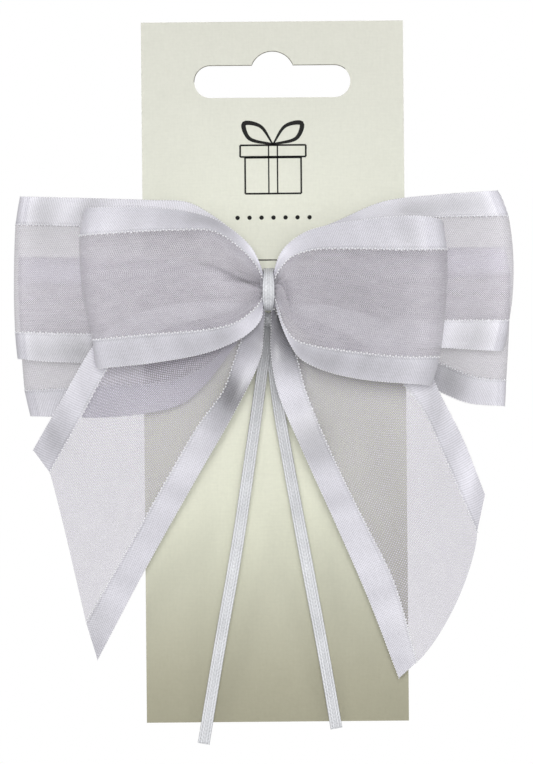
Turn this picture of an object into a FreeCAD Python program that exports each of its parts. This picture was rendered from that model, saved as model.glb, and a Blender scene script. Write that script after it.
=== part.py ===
"""A pre-made gift bow on its hang card, as a parametric FreeCAD document.

Millimetres, +Z up. The origin is the top of the card's hang slot, where a display hook bears, on the
card's back face. The card stands in the XZ plane with its back at y = 0 and everything else in front
of it, towards -Y. The bow is one wide sheer ribbon with satin edges, folded into six loops and two
tails and pinched at the knot by a narrow tie ribbon, whose two ends hang down. A twist tie round the
pinched centre passes through two holes in the card.

Each ribbon part is a thin wall: its plan (seen from above) or its side profile, pulled through the
ribbon's width, and cut to its outline as seen from the front.
"""

import FreeCAD, Part
import math
import os

import Sketcher

V = FreeCAD.Vector
doc = FreeCAD.newDocument("GiftBow")

# ---------------------------------------------------------------- driving dimensions

DRIVING = {
    # card
    "card_width": 65.5,
    "card_height": 175.0,
    "card_thick": 0.6,
    "card_above_slot": 7.5,
    "slot_width": 39.0,
    "slot_height": 8.0,
    "slot_drop": 7.5,
    "slot_bump_radius": 5.5,
    # knot, from the top of the hang slot
    "knot_x": -0.9,
    "knot_depth": 13.0,
    "knot_drop": 59.6,
    "waist_half": 2.0,
    "waist_radius": 4.75,
    "waist_front": 1.1,
    "waist_back": 0.1,
    # wide ribbon
    "ribbon_width": 40.0,
    "ribbon_thick": 0.5,
    "tail_thick": 0.4,
    # narrow tie ribbon
    "tie_width": 3.0,
    "tie_thick": 0.4,
    "wrap_radius": 5.3,
    "wrap_offset": 1.1,
    "tie_knot_drop": 6.85,
    "tie_knot_behind": 3.0,
    "tie_knot_half_width": 2.1,
    "tie_knot_half_depth": 1.8,
    "tie_knot_half_height": 1.44,
    # twist tie
    "strip_half": 2.6,
    "strip_thick": 0.6,
    "strip_width": 1.8,
    "strip_depth": 7.95,
    "strip_behind": 0.9,
    "twist_radius": 0.9,
    "twist_length": 13.0,
    "twist_behind_strip": 0.35,
    "fixing_radius": 1.25,
}

# Each loop: how far it reaches from the knot, how far the middle of its width lies above the knot,
# where its top and bottom edges reach the full width, the depth of its root and of its rounded end
# in front of the card's back, and that end's radius.
LOOP_SIZES = ("reach", "rise", "top_run", "low_run", "root_depth", "end_depth", "end_bend")
LOOPS = {
    "front_loop_left": (47.0, 0.2, 22.0, 20.0, 17.0, 20.4, 5.6),
    "front_loop_right": (44.0, -3.0, 20.0, 20.0, 17.0, 20.4, 5.6),
    "upper_back_loop_left": (63.5, 3.0, 22.0, 22.0, 11.4, 9.7, 2.8),
    "upper_back_loop_right": (61.5, 4.6, 28.0, 20.0, 11.4, 9.7, 2.8),
    "lower_back_loop_left": (62.0, -11.7, 22.0, 26.0, 8.5, 3.8, 2.6),
    "lower_back_loop_right": (60.0, -9.4, 22.0, 34.0, 8.5, 3.8, 2.6),
}
ROOT_START = {"front": 2.3, "upper": 3.2, "lower": 3.2}
ROOT_BEND = {"front": 1.2, "upper": 1.0, "lower": 0.9}
ROOT_HALF = {"front": 4.5, "upper": 3.2, "lower": 3.2}

# Each tail: its lean from the vertical in degrees, how far its inner edge lies past the line from
# the knot, the lengths of its inner and outer edges, and its depth by the knot and at its tip.
TAIL_SIZES = ("lean", "inner_side", "inner_length", "outer_length", "top_depth", "tip_depth")
TAILS = {
    "tail_left": (28.0, 5.6, 101.5, 63.0, 13.4, 5.4),
    "tail_right": (24.2, 9.0, 101.5, 69.0, 14.1, 6.1),
}
# How far below the knot a tail starts, its inner and outer edges reach the full width, and it leans
# back; half its gathered top's width; and how far its sheet runs on above the knot.
TAIL_START = 7.0
TAIL_INNER_SPREAD = 20.0
TAIL_OUTER_SPREAD = 33.0
TAIL_BEND_DROP = 46.0
TAIL_GATHER_HALF = 2.4
TAIL_ABOVE = 5.0

# Each tie tail: the points of its route, as (across from the knot, drop below the knot), and the
# depth of its front face at the knot and at its end.
TIE_ROUTES = {
    "tie_tail_left": [(-0.1, 9.4), (-1.6, 21.0), (-4.4, 41.0), (-8.0, 66.0), (-12.4, 90.0), (-16.2, 113.6)],
    "tie_tail_right": [(0.3, 9.4), (1.3, 23.0), (5.2, 45.0), (10.2, 72.0), (14.0, 92.0), (17.0, 109.8)],
}
TIE_DEPTHS = {"tie_tail_left": (10.6, 2.8), "tie_tail_right": (9.8, 2.0)}
TIE_ARC_SHARE = 0.45

# The bow is tied on a little askew: the card is turned by this many degrees in its own plane, about
# the top of the hang slot.
CARD_TURN = -0.5

# A cutting tool runs this many thicknesses of card, or widths of ribbon, so that it passes right
# through what it cuts.
CARD_THROUGH = 4
RIBBON_THROUGH = 3

for name, values in LOOPS.items():
    DRIVING.update({f"{name}_{size}": v for size, v in zip(LOOP_SIZES, values)})
for name, values in TAILS.items():
    DRIVING.update({f"{name}_{size}": v for size, v in zip(TAIL_SIZES, values)})

dims = doc.addObject("Spreadsheet::Sheet", "Dims")
for row, (alias, value) in enumerate(DRIVING.items(), start=1):
    dims.set(f"A{row}", alias)
    dims.set(f"B{row}", str(value))
    dims.setAlias(f"B{row}", alias)
doc.recompute()


class Size:
    """A length with both its number and the sheet expression that gives it."""

    def __init__(self, value, text):
        self.value = value
        self.text = text

    def joined(self, other, sign, value):
        return Size(value, f"({self.text} {sign} {as_size(other).text})")

    def __add__(self, other):
        return self.joined(other, "+", self.value + as_size(other).value)

    def __sub__(self, other):
        return self.joined(other, "-", self.value - as_size(other).value)

    def __mul__(self, other):
        return self.joined(other, "*", self.value * as_size(other).value)

    def __neg__(self):
        return self * -1

    def __truediv__(self, other):
        return self.joined(other, "/", self.value / as_size(other).value)


def as_size(x):
    return x if isinstance(x, Size) else Size(float(x), repr(float(x)))


def cell(alias):
    return Size(float(getattr(dims, alias)), f"Dims.{alias}")


# ---------------------------------------------------------------- sketches

# A sketch's own x and y axes in the row frame, as a rotation.
FRONT = FreeCAD.Rotation(V(1, 0, 0), 90)
PLAN = FreeCAD.Rotation()
SIDE = FreeCAD.Rotation(V(0, 1, 0), V(0, 0, 1), V(1, 0, 0), "ZXY")

KNOT = (cell("knot_x"), -cell("knot_depth"), -cell("knot_drop"))
KNOT_LINE = (cell("knot_x"), as_size(0), -cell("knot_drop"))
ORIGIN = (as_size(0), as_size(0), as_size(0))


def new_sketch(name, turn, at):
    """An empty sketch whose plane goes through the point at, bound to the sheet."""
    sketch = doc.addObject("Sketcher::SketchObject", name)
    sketch.Placement = FreeCAD.Placement(V(*(c.value for c in at)), turn)
    for axis, c in zip("xyz", at):
        sketch.setExpression(f"Placement.Base.{axis}", c.text)
    return sketch


def bind(sketch, kind, *where, size):
    """A dimension of the sketch, bound to the sheet."""
    number = sketch.addConstraint(Sketcher.Constraint(kind, *where, size.value))
    sketch.setExpression(f"Constraints[{number}]", size.text)


def bind_point(sketch, geometry, end, point):
    bind(sketch, "DistanceX", -1, 1, geometry, end, size=point[0])
    bind(sketch, "DistanceY", -1, 1, geometry, end, size=point[1])


def tangent_arc(start, end, way):
    """The arc from start to end that leaves or meets end along way, and whether it runs clockwise."""
    normal = V(-way.y, way.x, 0).normalize()
    chord = start - end
    radius = chord.dot(chord) / (2 * chord.dot(normal))
    centre = end + normal * radius
    clockwise = (start - centre).cross(end - centre).z < 0
    middle = centre + ((start + end) * 0.5 - centre).normalize() * abs(radius)
    return Part.Arc(start, middle, end), clockwise


def closed_outline(sketch, corners, arcs=()):
    """A closed outline through corners. The side that starts at each corner number in arcs is an
    arc, tangent to the straight side after it or, for a negative number, before it."""
    points = [V(x.value, y.value, 0) for x, y in corners]
    count = len(corners)
    ends = []
    for i in range(count):
        a, b = points[i], points[(i + 1) % count]
        if i in arcs:
            shape, clockwise = tangent_arc(a, b, points[(i + 2) % count] - b)
        elif -i in arcs:
            shape, clockwise = tangent_arc(b, a, points[i] - points[i - 1])
            clockwise = not clockwise
        else:
            shape, clockwise = Part.LineSegment(a, b), False
        sketch.addGeometry(shape, False)
        ends.append((2, 1) if clockwise else (1, 2))
    for i in range(count):
        after = (i + 1) % count
        smooth = i in arcs or -after in arcs and after != 0
        kind = "Tangent" if smooth else "Coincident"
        sketch.addConstraint(Sketcher.Constraint(kind, i, ends[i][1], after, ends[after][0]))
    for i, corner in enumerate(corners):
        bind_point(sketch, i, ends[i][0], corner)


def tapered_slot(sketch, near, near_radius, far, far_radius):
    """An outline of two round ends of different radius, joined by lines tangent to both."""
    a, b = V(near[0].value, near[1].value, 0), V(far[0].value, far[1].value, 0)
    along = (b - a).normalize()
    across = V(-along.y, along.x, 0)
    lean = math.asin((far_radius.value - near_radius.value) / (b - a).Length)
    sides = [along * -math.sin(lean) + across * (s * math.cos(lean)) for s in (1, -1)]
    p = [a + sides[0] * near_radius.value, a + sides[1] * near_radius.value]
    q = [b + sides[0] * far_radius.value, b + sides[1] * far_radius.value]
    first = sketch.GeometryCount
    sketch.addGeometry(Part.Arc(p[0], a - along * near_radius.value, p[1]), False)
    sketch.addGeometry(Part.LineSegment(p[1], q[1]), False)
    sketch.addGeometry(Part.Arc(q[1], b + along * far_radius.value, q[0]), False)
    sketch.addGeometry(Part.LineSegment(q[0], p[0]), False)
    for i in range(4):
        after = (i + 1) % 4
        sketch.addConstraint(Sketcher.Constraint("Tangent", first + i, 2, first + after, 1))
    bind_point(sketch, first, 3, near)
    bind_point(sketch, first + 2, 3, far)
    bind(sketch, "Radius", first, size=near_radius)
    bind(sketch, "Radius", first + 2, size=far_radius)


# ---------------------------------------------------------------- solids

def pulled(name, sketch, way, length, both_ways=True):
    """The sketch pulled into a solid along way."""
    solid = doc.addObject("Part::Extrusion", name)
    solid.Base = sketch
    solid.DirMode = "Custom"
    solid.Dir = way
    solid.Solid = True
    solid.Symmetric = both_ways
    solid.LengthFwd = length.value
    solid.setExpression("LengthFwd", length.text)
    return solid


def common(node, *tools):
    """What all the tools share, as the node's own object."""
    found = doc.addObject("Part::MultiCommon", node)
    found.Shapes = list(tools)
    return found


nodes = []


def keep(node, solid):
    solid.Label = node
    nodes.append(solid)


def make_card():
    """The card: a thin sheet with a hang slot, its centre bump, and two holes for the twist tie. It is
    drawn upright and then turned, and the holes come to lie on each side of the knot."""
    half, thick = cell("card_width") / 2, cell("card_thick")
    top, foot = cell("card_above_slot"), cell("card_above_slot") - cell("card_height")
    sheet = new_sketch("card_outline", FRONT, ORIGIN)
    closed_outline(sheet, [(-half, foot), (half, foot), (half, top), (-half, top)])
    blank = pulled("card_blank", sheet, V(0, -1, 0), thick, both_ways=False)

    slot_half = (cell("slot_width") - cell("slot_height")) / 2
    slot_radius, slot_z = cell("slot_height") / 2, -cell("slot_drop")
    slot = new_sketch("slot_outline", FRONT, ORIGIN)
    tapered_slot(slot, (-slot_half, slot_z), slot_radius, (slot_half, slot_z), slot_radius)
    slot_cut = pulled("slot_cut", slot, V(0, -1, 0), thick * CARD_THROUGH)

    aside = cell("knot_drop") * math.sin(math.radians(CARD_TURN))
    cuts = [slot_cut]
    cuts.append(card_hole("slot_bump", as_size(0), -cell("slot_bump_radius"), cell("slot_bump_radius")))
    for side, sign in (("left", -1), ("right", 1)):
        across = cell("knot_x") + cell("strip_half") * sign
        cuts.append(card_hole(f"fixing_{side}", across + aside, -cell("knot_drop"), cell("fixing_radius")))
    fused = doc.addObject("Part::MultiFuse", "card_cuts")
    fused.Shapes = cuts
    card = doc.addObject("Part::Cut", "hang_card")
    card.Base, card.Tool = blank, fused
    card.Placement = FreeCAD.Placement(V(0, 0, 0), FreeCAD.Rotation(V(0, 1, 0), CARD_TURN))
    keep("hang_card", card)


def card_hole(name, x, z, radius):
    """A cylinder that runs through the card along Y."""
    hole = doc.addObject("Part::Cylinder", name)
    through = cell("card_thick") * CARD_THROUGH
    hole.Placement = FreeCAD.Placement(V(x.value, through.value / 2, z.value), FRONT)
    hole.setExpression("Placement.Base.x", x.text)
    hole.setExpression("Placement.Base.y", (through / 2).text)
    hole.setExpression("Placement.Base.z", z.text)
    hole.setExpression("Radius", radius.text)
    hole.setExpression("Height", through.text)
    return hole


def make_waist():
    """The pinched centre of the wide ribbon: all its folds pressed into one bundle."""
    sketch = new_sketch("waist_profile", SIDE, KNOT)
    radius = cell("waist_radius")
    tapered_slot(sketch, (-cell("waist_front"), as_size(0)), radius, (cell("waist_back"), as_size(0)), radius)
    keep("gathered_centre", pulled("gathered_centre", sketch, V(1, 0, 0), cell("waist_half") * 2))


def make_wrap():
    """The narrow ribbon's turn round the pinched centre."""
    sketch = new_sketch("wrap_profile", SIDE, KNOT)
    near, far = (-cell("wrap_offset"), as_size(0)), (cell("wrap_offset"), as_size(0))
    outer = cell("wrap_radius")
    inner = outer - cell("tie_thick")
    tapered_slot(sketch, near, outer, far, outer)
    tapered_slot(sketch, near, inner, far, inner)
    keep("tie_wrap", pulled("tie_wrap", sketch, V(1, 0, 0), cell("tie_width")))


def make_knot():
    """The narrow ribbon's knot, under the wrap, where its two ends come out."""
    knot = doc.addObject("Part::Ellipsoid", "tie_knot")
    at = (KNOT[0], KNOT[1] + cell("tie_knot_behind"), KNOT[2] - cell("tie_knot_drop"))
    knot.Placement = FreeCAD.Placement(V(*(c.value for c in at)), FreeCAD.Rotation())
    for axis, c in zip("xyz", at):
        knot.setExpression(f"Placement.Base.{axis}", c.text)
    knot.setExpression("Radius1", cell("tie_knot_half_height").text)
    knot.setExpression("Radius2", cell("tie_knot_half_width").text)
    knot.setExpression("Radius3", cell("tie_knot_half_depth").text)
    keep("tie_knot", knot)


def make_twist_tie():
    """A flat wire tie: a U round the back of the pinched centre, its legs through the card's two
    holes, and behind the card the legs twisted into one stem that is folded down."""
    out, thick = cell("strip_half") + cell("strip_thick") / 2, cell("strip_thick")
    front, behind = -cell("strip_depth"), cell("strip_behind")
    sketch = new_sketch("strip_plan", PLAN, KNOT_LINE)
    closed_outline(sketch, [(-out, front), (out, front), (out, behind), (-out, behind)])
    ring = [(-out + thick, front + thick), (out - thick, front + thick)]
    ring += [(out - thick, behind - thick), (-out + thick, behind - thick)]
    inside = new_sketch("strip_inside", PLAN, KNOT_LINE)
    closed_outline(inside, ring)
    strip = doc.addObject("Part::Cut", "strip_ring")
    strip.Base = pulled("strip_outer", sketch, V(0, 0, 1), cell("strip_width"))
    strip.Tool = pulled("strip_hollow", inside, V(0, 0, 1), cell("strip_width") * 2)
    stem = doc.addObject("Part::Cylinder", "twisted_stem")
    head = KNOT[2] + cell("strip_width") / 2
    at = (KNOT[0], behind + cell("twist_behind_strip"), head - cell("twist_length"))
    stem.Placement = FreeCAD.Placement(V(*(c.value for c in at)), FreeCAD.Rotation())
    for axis, c in zip("xyz", at):
        stem.setExpression(f"Placement.Base.{axis}", c.text)
    stem.setExpression("Radius", cell("twist_radius").text)
    stem.setExpression("Height", cell("twist_length").text)
    tie = doc.addObject("Part::MultiFuse", "twist_tie")
    tie.Shapes = [strip, stem]
    keep("twist_tie", tie)


def make_loop(node):
    """One loop: a flattened teardrop of ribbon in plan, cut to a front outline that swells from the
    pinched root to the ribbon's full width."""
    side = -1 if node.endswith("left") else 1
    layer = node.split("_")[0]
    sizes = {size: cell(f"{node}_{size}") for size in LOOP_SIZES}
    root_bend, thick = as_size(ROOT_BEND[layer]), cell("ribbon_thick")
    start = as_size(ROOT_START[layer])
    plan = new_sketch(f"{node}_plan", PLAN, KNOT_LINE)
    near = ((start + root_bend) * side, -sizes["root_depth"])
    far = ((sizes["reach"] - sizes["end_bend"]) * side, -sizes["end_depth"])
    tapered_slot(plan, near, root_bend, far, sizes["end_bend"])
    tapered_slot(plan, near, root_bend - thick, far, sizes["end_bend"] - thick)
    wall = pulled(f"{node}_wall", plan, V(0, 0, 1), cell("ribbon_width") * RIBBON_THROUGH)

    front = new_sketch(f"{node}_front", FRONT, KNOT)
    root, past = start - thick, sizes["reach"] + thick
    half = as_size(ROOT_HALF[layer])
    high = sizes["rise"] + cell("ribbon_width") / 2
    low = sizes["rise"] - cell("ribbon_width") / 2
    corners = [(root, half), (sizes["top_run"], high), (past, high)]
    corners += [(past, low), (sizes["low_run"], low), (root, -half)]
    closed_outline(front, [(x * side, z) for x, z in corners], arcs=(0, -4))
    outline = pulled(f"{node}_outline", front, V(0, 1, 0), cell("ribbon_width") * RIBBON_THROUGH)
    keep(node, common(node, wall, outline))


def make_tail(node):
    """One tail: a sheet that hangs straight, then leans back to the card, cut to a gathered top and
    a slanted end."""
    side = -1 if node.endswith("left") else 1
    sizes = {size: cell(f"{node}_{size}") for size in TAIL_SIZES}
    profile = new_sketch(f"{node}_profile", SIDE, KNOT_LINE)
    thick, above, below = cell("tail_thick"), as_size(TAIL_ABOVE), cell("ribbon_width") * RIBBON_THROUGH
    front, tip = -sizes["top_depth"], -sizes["tip_depth"]
    bend = as_size(-TAIL_BEND_DROP)
    back = [(front + thick, -above), (front + thick, bend), (tip + thick, -below)]
    face = [(tip, -below), (front, bend), (front, -above)]
    closed_outline(profile, back + face)
    sheet = pulled(f"{node}_sheet", profile, V(1, 0, 0), cell("ribbon_width") * RIBBON_THROUGH * 2)

    turn = FreeCAD.Rotation(V(0, 1, 0), side * -sizes["lean"].value)
    outline = new_sketch(f"{node}_front", turn * FRONT, KNOT)
    inner, outer = sizes["inner_side"] * -side, (cell("ribbon_width") - sizes["inner_side"]) * side
    start, gather = as_size(-TAIL_START), as_size(TAIL_GATHER_HALF * side)
    corners = [(-gather, start), (inner, as_size(-TAIL_INNER_SPREAD)), (inner, -sizes["inner_length"])]
    corners += [(outer, -sizes["outer_length"]), (outer, as_size(-TAIL_OUTER_SPREAD)), (gather, start)]
    closed_outline(outline, corners, arcs=(0, -4))
    keep(node, common(node, sheet, pulled(f"{node}_outline", outline, V(0, 1, 0), below)))


def route_pieces(points):
    """Straight runs through points joined by large tangent arcs, each with its points and centre."""
    pieces, last = [], points[0]
    for a, b, c in zip(points, points[1:], points[2:]):
        before, after = (b - a).normalize(), (c - b).normalize()
        half_turn = before.getAngle(after) / 2
        cut = TIE_ARC_SHARE * min((b - a).Length, (c - b).Length)
        start, end = b - before * cut, b + after * cut
        radius = cut / math.tan(half_turn)
        inward = (after - before).normalize()
        centre = b + inward * (radius / math.cos(half_turn))
        pieces.append(((last, start), None))
        pieces.append(((start, centre - inward * radius, end), centre))
        print(f"arc radius {radius:.1f} mm, turn {math.degrees(2 * half_turn):.1f} degrees")
        last = end
    pieces.append(((last, points[-1]), None))
    return pieces


def moved_edges(pieces, offset):
    """The pieces of a route as edges, all moved sideways by offset."""
    edges = []
    for ends, centre in pieces:
        if centre is None:
            way = (ends[1] - ends[0]).normalize()
            across = V(-way.z, 0, way.x) * offset
            edges.append(Part.LineSegment(ends[0] + across, ends[1] + across).toShape())
        else:
            turn = (ends[1] - ends[0]).cross(ends[2] - ends[1]).y
            grow = offset if turn > 0 else -offset
            edges.append(Part.Arc(*(q + (q - centre).normalize() * grow for q in ends)).toShape())
    return edges


def make_tie_tail(node):
    """One hanging end of the narrow ribbon: a flat strip along its route, leaning back to the card.
    It reads the sheet here, because its route is a list of points."""
    width, thick = cell("tie_width").value, cell("tie_thick").value
    route = [V(x, 0, -drop) for x, drop in TIE_ROUTES[node]]
    pieces = route_pieces(route)
    left, right = moved_edges(pieces, -width / 2), moved_edges(pieces, width / 2)
    foot_edge = Part.makeLine(left[-1].Vertexes[-1].Point, right[-1].Vertexes[-1].Point)
    top_edge = Part.makeLine(right[0].Vertexes[0].Point, left[0].Vertexes[0].Point)
    outline = Part.Wire(left + [foot_edge] + right[::-1] + [top_edge])
    flat = Part.Face(outline).extrude(V(0, thick, 0))
    top_depth, foot_depth = TIE_DEPTHS[node]
    lean = math.degrees(math.atan2(top_depth - foot_depth, route[0].z - route[-1].z))
    strip = doc.addObject("Part::Feature", node)
    strip.Shape = flat
    turn = FreeCAD.Rotation(V(1, 0, 0), lean)
    knot = V(cell("knot_x").value, -top_depth, -cell("knot_drop").value)
    strip.Placement = FreeCAD.Placement(knot + route[0] - turn.multVec(route[0]), turn)
    keep(node, strip)
    length = sum(edge.Length for edge in moved_edges(pieces, 0))
    by_section = width * thick * length
    print(f"{node}: length {length:.1f} mm, volume {flat.Volume:.1f}, section x length {by_section:.1f}")


make_card()
make_waist()
make_wrap()
make_knot()
make_twist_tie()
for loop in LOOPS:
    make_loop(loop)
for tail in TAILS:
    make_tail(tail)
for tie_tail in TIE_ROUTES:
    make_tie_tail(tie_tail)

# ---------------------------------------------------------------- check and write

doc.recompute()
failed = [o.Name for o in doc.Objects if "Invalid" in o.State or "Error" in o.State]
for solid in nodes:
    shape = solid.Shape
    if shape.isNull() or not shape.isValid() or not shape.Solids or shape.Volume <= 0:
        failed.append(solid.Label)
if failed:
    raise SystemExit(f"these objects failed: {failed}")
os.makedirs("parts", exist_ok=True)
for solid in nodes:
    solid.Shape.exportStep(f"parts/{solid.Label}.step")
    b = solid.Shape.BoundBox
    print(
        f"{solid.Label}: {len(solid.Shape.Solids)} solid, {solid.Shape.Volume:.1f} mm3, "
        f"x {b.XMin:.1f}..{b.XMax:.1f}, y {b.YMin:.1f}..{b.YMax:.1f}, z {b.ZMin:.1f}..{b.ZMax:.1f}"
    )
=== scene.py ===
"""The looks of a pre-made gift bow on its hang card: wide sheer ribbon with satin edges, pinched by a
narrow satin tie. Lengths in the tables are millimetres in the frame of the part, as (across, height)
seen from the front: the origin is the top of the hang slot, and the front faces -Y."""

import math

import bmesh
import bpy
import numpy as np
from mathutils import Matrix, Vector


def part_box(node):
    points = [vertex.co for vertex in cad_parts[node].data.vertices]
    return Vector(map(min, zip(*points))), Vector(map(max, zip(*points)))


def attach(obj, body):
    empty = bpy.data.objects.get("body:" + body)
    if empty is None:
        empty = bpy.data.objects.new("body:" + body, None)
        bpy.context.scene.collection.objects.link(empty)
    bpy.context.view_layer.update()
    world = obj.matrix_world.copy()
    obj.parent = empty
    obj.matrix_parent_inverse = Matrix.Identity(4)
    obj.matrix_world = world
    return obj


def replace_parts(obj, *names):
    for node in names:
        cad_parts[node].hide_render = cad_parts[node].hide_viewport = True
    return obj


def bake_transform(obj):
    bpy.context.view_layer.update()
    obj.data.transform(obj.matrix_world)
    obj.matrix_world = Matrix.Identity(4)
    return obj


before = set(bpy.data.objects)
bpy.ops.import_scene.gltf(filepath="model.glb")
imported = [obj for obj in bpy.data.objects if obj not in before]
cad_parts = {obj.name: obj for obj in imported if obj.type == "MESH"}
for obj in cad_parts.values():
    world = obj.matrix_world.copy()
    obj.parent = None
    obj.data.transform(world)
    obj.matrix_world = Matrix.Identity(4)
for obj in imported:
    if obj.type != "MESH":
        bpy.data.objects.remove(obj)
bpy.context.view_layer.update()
MM = 0.001

# ------------------------ the knot, and the ribbons' sizes

def box_of(node):
    """The lowest and the highest corner of a CAD node's box, in millimetres."""
    return [np.array(corner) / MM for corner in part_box(node)]


WAIST_LOW, WAIST_HIGH = box_of("gathered_centre")
HALF_WIDTH = 20.0
SEAM = 13.3
CORE = "bow_core"

# ------------------------ camera, light and stage

VIEW_CENTRE = Vector((-1.4, 0.0, -82.6)) * MM
VIEW_HEIGHT = 0.191
CAMERA_DISTANCE = 2.0
BOW_MIDDLE = Vector((0, 0, -0.07))


def link(thing):
    """Puts a thing into the scene."""
    bpy.context.scene.collection.objects.link(thing)


def make_camera():
    data = bpy.data.cameras.new("camera")
    data.sensor_width = 36.0
    data.lens = data.sensor_width * CAMERA_DISTANCE / VIEW_HEIGHT
    data.clip_end = 50.0
    camera = bpy.data.objects.new("camera", data)
    camera.location = VIEW_CENTRE + Vector((0, -CAMERA_DISTANCE, 0))
    camera.rotation_euler = (math.pi / 2, 0, 0)
    link(camera)
    bpy.context.scene.camera = camera


def area_light(name, place, size, power):
    """A square light at place, aimed at the middle of the bow."""
    data = bpy.data.lights.new(name, "AREA")
    data.size = size
    data.energy = power
    lamp = bpy.data.objects.new(name, data)
    lamp.location = place
    aim = BOW_MIDDLE - Vector(place)
    lamp.rotation_euler = aim.to_track_quat("-Z", "Y").to_euler()
    link(lamp)


def make_world(seen, low, high):
    """A white surround. It gives light that grows from low, underneath, to high, overhead."""
    world = bpy.data.worlds.new("surround")
    world.use_nodes = True
    tree = world.node_tree
    tree.nodes.clear()
    kinds = ("OutputWorld", "MixShader", "LightPath", "TexCoord", "SeparateXYZ", "MapRange")
    out, choose, path, place, parts, grow = (tree.nodes.new("ShaderNode" + kind) for kind in kinds)
    given, backdrop = (tree.nodes.new("ShaderNodeBackground") for _ in range(2))
    backdrop.inputs["Strength"].default_value = seen
    grow.inputs["From Min"].default_value = -1.0
    grow.inputs["To Min"].default_value = low
    grow.inputs["To Max"].default_value = high
    for glow in (given, backdrop):
        glow.inputs["Color"].default_value = (1, 1, 1, 1)
    for source, socket in (
        (place.outputs["Generated"], parts.inputs[0]),
        (parts.outputs[2], grow.inputs["Value"]),
        (grow.outputs[0], given.inputs["Strength"]),
        (given.outputs[0], choose.inputs[1]),
        (backdrop.outputs[0], choose.inputs[2]),
        (path.outputs["Is Camera Ray"], choose.inputs[0]),
        (choose.outputs[0], out.inputs[0]),
    ):
        tree.links.new(source, socket)
    bpy.context.scene.world = world


def make_floor():
    """A pale plain floor below the part. It gives off a little light, so that it stays pale."""
    material, graph = new_material("floor")
    graph.surface({"Base Color": (0.9, 0.9, 0.9, 1), "Roughness": 0.9,
                   "Emission Color": (1, 1, 1, 1), "Emission Strength": 0.12})
    half, height = 1.2, -0.26
    corners = [(x * half, y * half, height) for x, y in ((-1, -1), (1, -1), (1, 1), (-1, 1))]
    mesh = bpy.data.meshes.new("floor")
    mesh.from_pydata(corners, [], [(0, 1, 2, 3)])
    mesh.materials.append(material)
    floor = bpy.data.objects.new("floor", mesh)
    link(floor)


# ------------------------ material nodes

# The first map places the weave; the second holds painted shade and painted highlights.
WEAVE_MAP = "weave"
PAINTED_LIGHT_MAP = "painted_shade_and_highlights"

# Pitches of threads in millimetres, and the lean of slanted ones in radians.
WEFT_TO_WARP = 1.06
WATERED_THREADS = ((0.66, 0.62), (0.72, -0.7))
ORGANZA_WEFT = 0.53
SATIN_TWILL, SATIN_LEAN, SATIN_WEFT, SATIN_WEAVE = 0.74, 0.75, 0.5, 0.58
CORD_PITCH = 0.62
TIE_WEAVE, TIE_WEAVE_LEAN = 0.7, 0.8

# How much of the sheer cloth's cover also stops light, how much painted shade darkens each cloth in its
# tucks, how sharp the line of painted shade beside a seam is, and how much painted shade darkens the tie
# under the bow and how far down that fades.
SHADOW_SHARE = 0.35
ORGANZA_PAINTED_SHADE, SATIN_PAINTED_SHADE = -0.5, -0.45
SEAM_LINE_OUT, SEAM_LINE_SHARPNESS = 0.5, -22.0
UNDER_BOW_PAINTED_SHADE, UNDER_BOW_PAINTED_SHADE_FADE = -0.45, 9.0

# The heights in metres between which the card's colours run. Their run holds painted shade and light:
# darker towards the top and darkest at the foot, for how light falls on the pearly card, and lightest
# behind the bow, against the shadow it casts there.
CARD_FOOT, CARD_TOP = -0.1675, 0.0075
CARD_COLOURS_AND_PAINTED_SHADE = [
    (0.0, (0.325, 0.31, 0.212)),
    (0.1, (0.415, 0.40, 0.29)),
    (0.22, (0.60, 0.605, 0.48)),
    (0.32, (0.80, 0.81, 0.66)),
    (0.5, (0.93, 0.94, 0.80)),
    (0.68, (0.89, 0.90, 0.77)),
    (0.78, (0.76, 0.77, 0.665)),
    (0.88, (0.68, 0.685, 0.60)),
    (1.0, (0.655, 0.655, 0.575)),
]


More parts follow.
